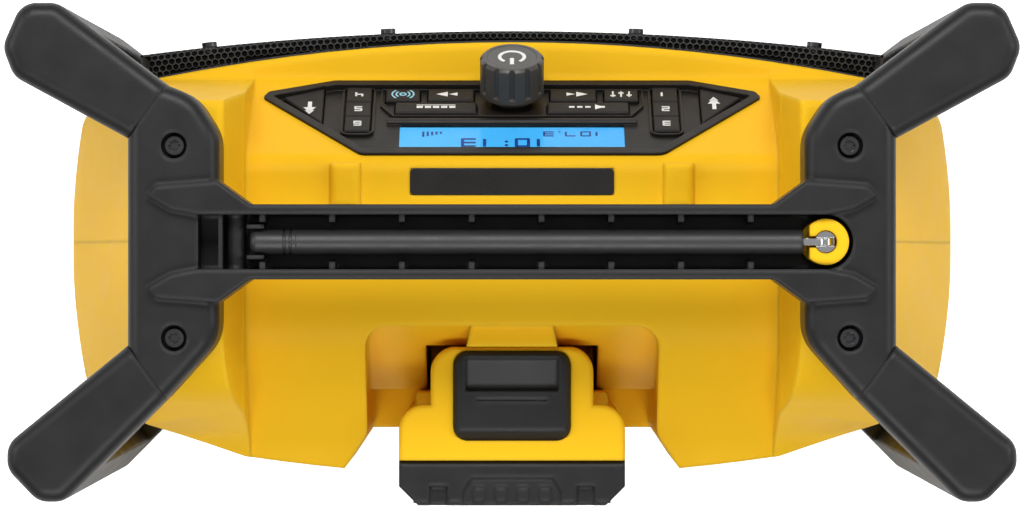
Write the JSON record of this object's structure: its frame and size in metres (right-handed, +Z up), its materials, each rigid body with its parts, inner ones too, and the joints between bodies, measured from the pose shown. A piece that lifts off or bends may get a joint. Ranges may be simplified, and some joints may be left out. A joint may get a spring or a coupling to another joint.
{
  "type": "jobsite radio",
  "caption": "Rugged cordless radio in a four-legged roll cage with a carrying handle, folding aerial, sloping control panel, twin speakers and a slide-on battery pack.",
  "frame": {"origin": "middle of the bottom of the whole radio, on the surface it stands on", "axes": "+Z up, -Y towards the speaker grille, +X to the right of a person facing the grille"},
  "size_m": [0.3532, 0.1788, 0.24],
  "materials": {
    "yellow_shell": "satin",
    "black_cage": "satin",
    "black_plastic": "satin",
    "rubber_black": "matte",
    "mesh_black": "satin",
    "panel_black": "satin",
    "key_rubber": "satin",
    "lens": "clear",
    "display": "gloss",
    "screw_steel": "satin",
    "bright_steel": "polished",
    "board_green": "satin",
    "magnet_steel": "satin",
    "cone_paper": "matte",
    "cell_wrap": "gloss",
    "contact_brass": "polished"
  },
  "bodies": {
    "cage": {"front_housing": "yellow_shell", "rear_housing": "yellow_shell", "aerial_mount": "yellow_shell", "handle_frame": "black_cage", "base_frame": "black_cage", "leg_front_left": "black_cage", "leg_front_right": "black_cage", "leg_rear_left": "black_cage", "leg_rear_right": "black_cage", "foot_pads": "rubber_black", "grille": "mesh_black", "grille_screws": "screw_steel", "housing_screws": "screw_steel", "handle_screws": "screw_steel", "base_screws": "screw_steel", "speaker_screws": "screw_steel", "speaker_frame_left": "magnet_steel", "speaker_frame_right": "magnet_steel", "speaker_magnet_left": "magnet_steel", "speaker_magnet_right": "magnet_steel", "speaker_cone_left": "cone_paper", "speaker_cone_right": "cone_paper", "aerial_fork": "bright_steel", "knob_encoder": "bright_steel", "control_bezel": "panel_black", "display_lens": "lens", "display_module": "display", "button_board": "board_green", "main_board": "board_green", "label_plate": "black_plastic", "battery_dock": "black_plastic", "dock_blades": "contact_brass"},
    "aerial": {"aerial_knuckle": "bright_steel", "aerial_mast": "rubber_black", "aerial_tip": "rubber_black"},
    "knob_shaft": {"knob_shaft": "bright_steel"},
    "knob": {"volume_knob": "key_rubber", "knob_cap": "black_plastic"},
    "battery": {"pack_front_shell": "yellow_shell", "pack_base_shell": "black_plastic", "pack_cells": "cell_wrap", "pack_contacts": "contact_brass", "pack_screws": "screw_steel"},
    "release": {"pack_release": "black_plastic"},
    "tune_button_left": {"tune_button_left": "key_rubber"},
    "seek_button_left": {"seek_button_left": "key_rubber"},
    "wide_button_left": {"wide_button_left": "key_rubber"},
    "small_button_left": {"small_button_left": "key_rubber"},
    "preset_button_1": {"preset_button_1": "key_rubber"},
    "preset_button_2": {"preset_button_2": "key_rubber"},
    "preset_button_3": {"preset_button_3": "key_rubber"},
    "tune_button_right": {"tune_button_right": "key_rubber"},
    "seek_button_right": {"seek_button_right": "key_rubber"},
    "wide_button_right": {"wide_button_right": "key_rubber"},
    "small_button_right": {"small_button_right": "key_rubber"},
    "preset_button_4": {"preset_button_4": "key_rubber"},
    "preset_button_5": {"preset_button_5": "key_rubber"},
    "preset_button_6": {"preset_button_6": "key_rubber"}
  },
  "joints": [
    {"name": "aerial_fold", "type": "hinge", "parent": "cage", "child": "aerial", "pos_m": [-0.1088, -0.00615, 0.232], "axis": [0, -1, 0], "range_deg": [0, 90]},
    {"name": "knob_push", "type": "slide", "parent": "cage", "child": "knob_shaft", "axis": [0, 0.8746, -0.4848], "range_m": [0, 0.001], "stiffness_N_per_m": 4000, "springref_m": -0.0006},
    {"name": "knob_turn", "type": "hinge", "parent": "knob_shaft", "child": "knob", "pos_m": [0, -0.06185, 0.137], "axis": [0, -0.8746, 0.4848], "continuous": true},
    {"name": "battery_slide", "type": "slide", "parent": "cage", "child": "battery", "axis": [0, 0, 1], "range_m": [0, 0.09]},
    {"name": "release_press", "type": "slide", "parent": "battery", "child": "release", "axis": [0, 0, -1], "range_m": [0, 0.0035], "stiffness_N_per_m": 1500, "springref_m": -0.001},
    {"name": "tune_left_press", "type": "slide", "parent": "cage", "child": "tune_button_left", "axis": [0, 0.8746, -0.4848], "range_m": [0, 0.0008], "stiffness_N_per_m": 2500, "springref_m": -0.0004},
    {"name": "seek_left_press", "type": "slide", "parent": "cage", "child": "seek_button_left", "axis": [0, 0.8746, -0.4848], "range_m": [0, 0.0008], "stiffness_N_per_m": 2500, "springref_m": -0.0004},
    {"name": "wide_left_press", "type": "slide", "parent": "cage", "child": "wide_button_left", "axis": [0, 0.8746, -0.4848], "range_m": [0, 0.0008], "stiffness_N_per_m": 2500, "springref_m": -0.0004},
    {"name": "small_left_press", "type": "slide", "parent": "cage", "child": "small_button_left", "axis": [0, 0.8746, -0.4848], "range_m": [0, 0.0008], "stiffness_N_per_m": 2500, "springref_m": -0.0004},
    {"name": "preset_1_press", "type": "slide", "parent": "cage", "child": "preset_button_1", "axis": [0, 0.8746, -0.4848], "range_m": [0, 0.0008], "stiffness_N_per_m": 2500, "springref_m": -0.0004},
    {"name": "preset_2_press", "type": "slide", "parent": "cage", "child": "preset_button_2", "axis": [0, 0.8746, -0.4848], "range_m": [0, 0.0008], "stiffness_N_per_m": 2500, "springref_m": -0.0004},
    {"name": "preset_3_press", "type": "slide", "parent": "cage", "child": "preset_button_3", "axis": [0, 0.8746, -0.4848], "range_m": [0, 0.0008], "stiffness_N_per_m": 2500, "springref_m": -0.0004},
    {"name": "tune_right_press", "type": "slide", "parent": "cage", "child": "tune_button_right", "axis": [0, 0.8746, -0.4848], "range_m": [0, 0.0008], "stiffness_N_per_m": 2500, "springref_m": -0.0004},
    {"name": "seek_right_press", "type": "slide", "parent": "cage", "child": "seek_button_right", "axis": [0, 0.8746, -0.4848], "range_m": [0, 0.0008], "stiffness_N_per_m": 2500, "springref_m": -0.0004},
    {"name": "wide_right_press", "type": "slide", "parent": "cage", "child": "wide_button_right", "axis": [0, 0.8746, -0.4848], "range_m": [0, 0.0008], "stiffness_N_per_m": 2500, "springref_m": -0.0004},
    {"name": "small_right_press", "type": "slide", "parent": "cage", "child": "small_button_right", "axis": [0, 0.8746, -0.4848], "range_m": [0, 0.0008], "stiffness_N_per_m": 2500, "springref_m": -0.0004},
    {"name": "preset_4_press", "type": "slide", "parent": "cage", "child": "preset_button_4", "axis": [0, 0.8746, -0.4848], "range_m": [0, 0.0008], "stiffness_N_per_m": 2500, "springref_m": -0.0004},
    {"name": "preset_5_press", "type": "slide", "parent": "cage", "child": "preset_button_5", "axis": [0, 0.8746, -0.4848], "range_m": [0, 0.0008], "stiffness_N_per_m": 2500, "springref_m": -0.0004},
    {"name": "preset_6_press", "type": "slide", "parent": "cage", "child": "preset_button_6", "axis": [0, 0.8746, -0.4848], "range_m": [0, 0.0008], "stiffness_N_per_m": 2500, "springref_m": -0.0004}
  ]
}
